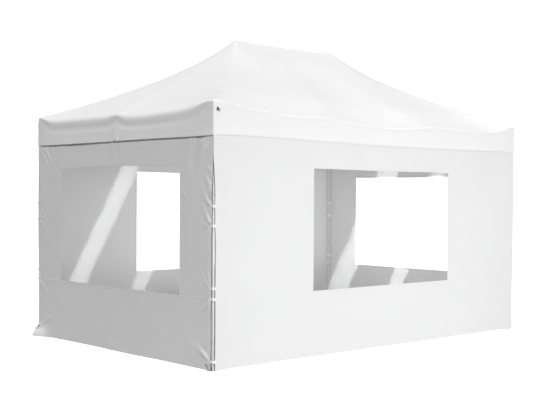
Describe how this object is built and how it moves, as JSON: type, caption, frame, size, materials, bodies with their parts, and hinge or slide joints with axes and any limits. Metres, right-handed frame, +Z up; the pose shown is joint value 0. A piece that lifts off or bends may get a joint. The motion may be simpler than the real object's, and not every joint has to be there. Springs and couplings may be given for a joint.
{
  "type": "folding marquee tent",
  "caption": "Folding marquee tent with a hipped roof, hanging valances, and side walls with large clear windows on a telescopic aluminium frame.",
  "frame": {"origin": "on the ground at the middle of the footprint", "axes": "+X along the long side to the right, +Y from the front long side to the back, +Z up"},
  "size_m": [4.5, 3.073, 3.1988],
  "materials": {
    "roof_cloth": "white coated polyester, matt",
    "wall_cloth": "white coated polyester, matt",
    "window_film": "clear soft film, glossy",
    "frame_aluminium": "satin anodised",
    "leg_aluminium": "satin anodised",
    "foot_steel": "zinc plated",
    "bracket_nylon": "moulded nylon",
    "ring_steel": "dark plated ring on webbing"
  },
  "bodies": {
    "tent": {"back_left_corner_bracket": "bracket_nylon", "back_left_guy_ring": "ring_steel", "back_left_outer_leg": "leg_aluminium", "back_left_sliding_bracket": "bracket_nylon", "back_right_corner_bracket": "bracket_nylon", "back_right_guy_ring": "ring_steel", "back_right_outer_leg": "leg_aluminium", "back_right_sliding_bracket": "bracket_nylon", "back_roof_panel": "roof_cloth", "back_truss": "frame_aluminium", "back_valance": "roof_cloth", "back_wall": "wall_cloth", "back_window": "window_film", "front_left_corner_bracket": "bracket_nylon", "front_left_guy_ring": "ring_steel", "front_left_outer_leg": "leg_aluminium", "front_left_sliding_bracket": "bracket_nylon", "front_right_corner_bracket": "bracket_nylon", "front_right_guy_ring": "ring_steel", "front_right_outer_leg": "leg_aluminium", "front_right_sliding_bracket": "bracket_nylon", "front_roof_panel": "roof_cloth", "front_truss": "frame_aluminium", "front_valance": "roof_cloth", "front_wall": "wall_cloth", "front_window": "window_film", "left_cross_truss": "frame_aluminium", "left_mast": "frame_aluminium", "left_roof_panel": "roof_cloth", "left_truss": "frame_aluminium", "left_valance": "roof_cloth", "left_wall": "wall_cloth", "left_window": "window_film", "ridge_truss": "frame_aluminium", "right_cross_truss": "frame_aluminium", "right_mast": "frame_aluminium", "right_roof_panel": "roof_cloth", "right_truss": "frame_aluminium", "right_valance": "roof_cloth", "right_wall": "wall_cloth", "right_window": "window_film"},
    "front_left_leg": {"front_left_inner_leg": "leg_aluminium", "front_left_foot": "foot_steel"},
    "front_right_leg": {"front_right_inner_leg": "leg_aluminium", "front_right_foot": "foot_steel"},
    "back_left_leg": {"back_left_inner_leg": "leg_aluminium", "back_left_foot": "foot_steel"},
    "back_right_leg": {"back_right_inner_leg": "leg_aluminium", "back_right_foot": "foot_steel"}
  },
  "joints": [
    {"name": "front_left_leg_slide", "type": "slide", "parent": "tent", "child": "front_left_leg", "axis": [0, 0, -1], "range_m": [0, 0.16]},
    {"name": "front_right_leg_slide", "type": "slide", "parent": "tent", "child": "front_right_leg", "axis": [0, 0, -1], "range_m": [0, 0.16]},
    {"name": "back_left_leg_slide", "type": "slide", "parent": "tent", "child": "back_left_leg", "axis": [0, 0, -1], "range_m": [0, 0.16]},
    {"name": "back_right_leg_slide", "type": "slide", "parent": "tent", "child": "back_right_leg", "axis": [0, 0, -1], "range_m": [0, 0.16]}
  ]
}
